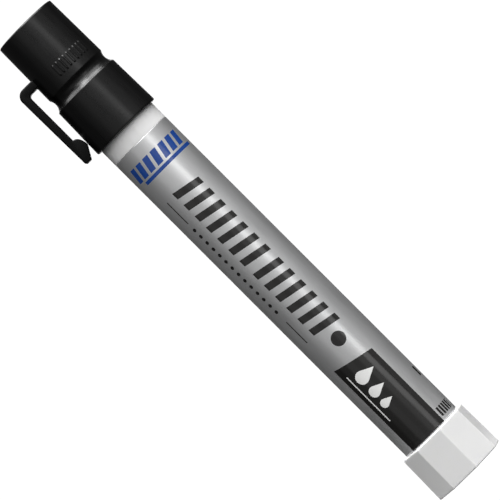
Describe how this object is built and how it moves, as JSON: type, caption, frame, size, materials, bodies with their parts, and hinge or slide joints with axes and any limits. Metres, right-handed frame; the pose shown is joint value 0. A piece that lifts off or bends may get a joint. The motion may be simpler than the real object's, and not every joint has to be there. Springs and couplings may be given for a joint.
{
  "type": "paint marker",
  "caption": "Capped twist-up solid paint marker: black cap with a pocket clip, white barrel in a silver label sleeve, and an octagonal knob whose screw feeds the paint stick.",
  "frame": {"origin": "centre of the flat end of the knob, on which the marker stands", "axes": "+Z along the marker towards the closed end of the cap; the pocket clip is on the -X side"},
  "size_m": [0.0238, 0.0202, 0.1524],
  "materials": {
    "white_plastic": "moulded, satin gloss",
    "black_plastic": "moulded, semi-gloss",
    "silver_label": "printed metallised film",
    "natural_plastic": "moulded, unpigmented",
    "white_paint": "waxy solid paint",
    "seal_rubber": "matte"
  },
  "bodies": {
    "holder": {"barrel": "white_plastic", "label_wrap": "silver_label"},
    "knob": {"twist_knob": "white_plastic", "knob_seal": "seal_rubber", "lead_screw": "natural_plastic"},
    "feed": {"elevator": "natural_plastic", "paint_stick": "white_paint"},
    "cap": {"cap_shell": "black_plastic", "cap_seal": "seal_rubber"},
    "clip": {"pocket_clip": "black_plastic"}
  },
  "joints": [
    {"name": "knob_turn", "type": "hinge", "parent": "holder", "child": "knob", "pos_m": [0, 0, 0], "axis": [0, 0, 1], "range_deg": [0, 1440]},
    {"name": "stick_feed", "type": "slide", "parent": "holder", "child": "feed", "axis": [0, 0, 1], "range_m": [0, 0.016]},
    {"name": "cap_pull", "type": "slide", "parent": "holder", "child": "cap", "axis": [0, 0, 1], "range_m": [0, 0.05]},
    {"name": "clip_flex", "type": "hinge", "parent": "cap", "child": "clip", "pos_m": [-0.00863, 0, 0.14045], "axis": [0, 1, 0], "range_deg": [0, 6], "stiffness_Nm_per_rad": 0.2}
  ],
  "couplings": [
    {"joint": "knob_turn", "follows": "stick_feed", "rad_per_m": 1570.8}
  ]
}
